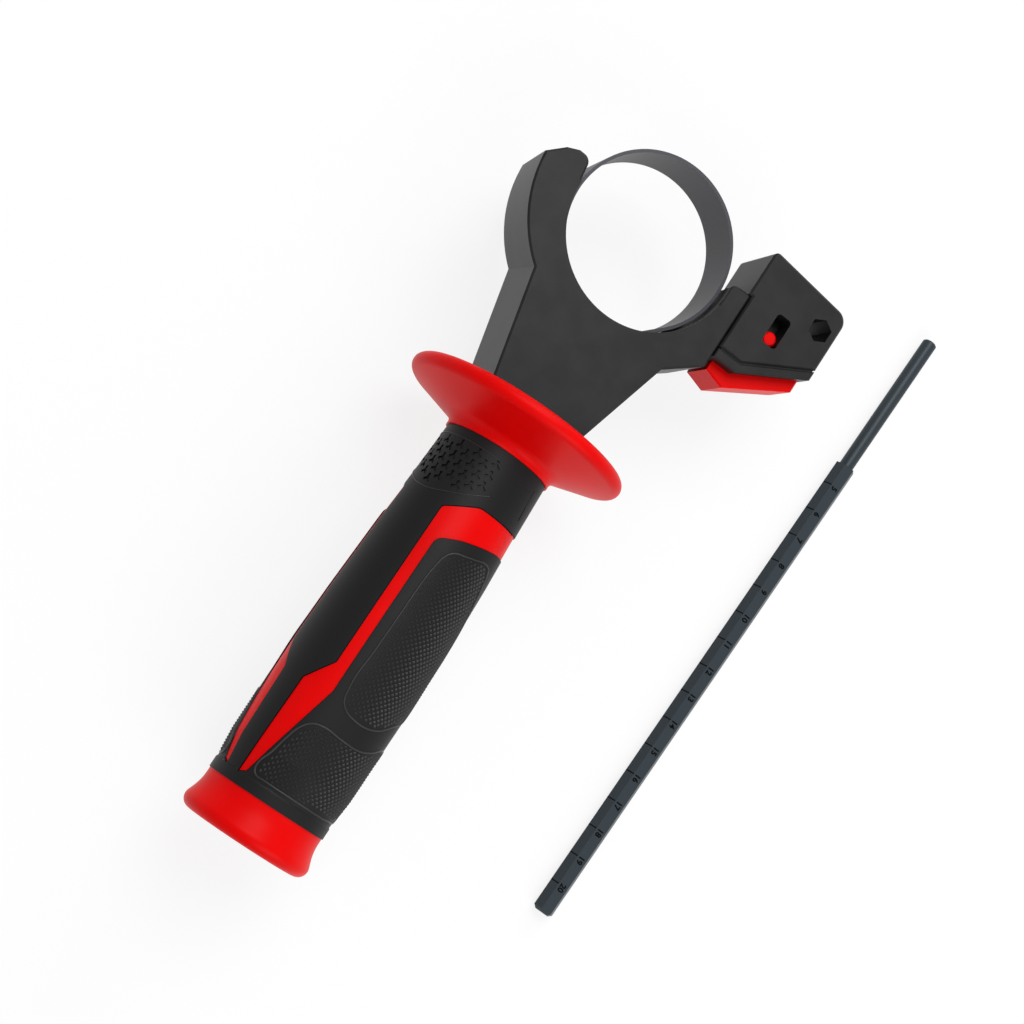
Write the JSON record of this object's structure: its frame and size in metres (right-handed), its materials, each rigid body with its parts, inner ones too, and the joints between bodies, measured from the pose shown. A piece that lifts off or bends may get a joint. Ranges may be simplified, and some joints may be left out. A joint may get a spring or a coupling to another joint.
{
  "type": "power tool side handle",
  "caption": "Collar-clamped side handle: a flanged two-colour grip tightens a steel band in a forked head, with a push-button gauge block and a loose hexagonal depth rod.",
  "frame": {"origin": "centre of the clamping ring, half way through the band's width", "axes": "+Z along the ring's axis, towards the front of the head; +Y from the grip to the head; +X towards the gauge block"},
  "size_m": [0.1475, 0.2471, 0.0698],
  "materials": {
    "head_plastic": "satin",
    "band_steel": "satin",
    "bright_steel": "satin",
    "red_plastic": "gloss",
    "grip_rubber": "matte",
    "rod_steel": "satin"
  },
  "bodies": {
    "head": {"clamp_head": "head_plastic", "gauge_housing": "head_plastic", "gauge_cover": "head_plastic", "thrust_washer": "bright_steel", "depth_rod": "rod_steel"},
    "grip": {"grip_core": "red_plastic", "grip_sleeve": "grip_rubber", "grip_nut": "bright_steel", "nut_retainer": "red_plastic", "end_cap": "red_plastic"},
    "band": {"strap_band": "band_steel", "band_rivet": "bright_steel", "draw_bolt": "bright_steel"},
    "button": {"lock_button": "red_plastic"},
    "pawl": {"lock_pawl": "bright_steel"}
  },
  "joints": [
    {"name": "grip_twist", "type": "hinge", "parent": "head", "child": "grip", "pos_m": [0, -0.064, 0], "axis": [0, 1, 0], "range_deg": [-720, 540]},
    {"name": "band_draw", "type": "slide", "parent": "head", "child": "band", "axis": [0, 1, 0], "range_m": [-0.00187, 0.0025]},
    {"name": "button_press", "type": "slide", "parent": "head", "child": "button", "axis": [0, 1, 0], "range_m": [0, 0.0038], "stiffness_N_per_m": 600, "springref_m": -0.005},
    {"name": "pawl_slide", "type": "slide", "parent": "head", "child": "pawl", "axis": [1, 0, 0], "range_m": [-0.0008, 0]}
  ],
  "couplings": [
    {"joint": "band_draw", "follows": "grip_twist", "m_per_rad": -0.00019894},
    {"joint": "pawl_slide", "follows": "button_press", "ratio": -0.2}
  ]
}
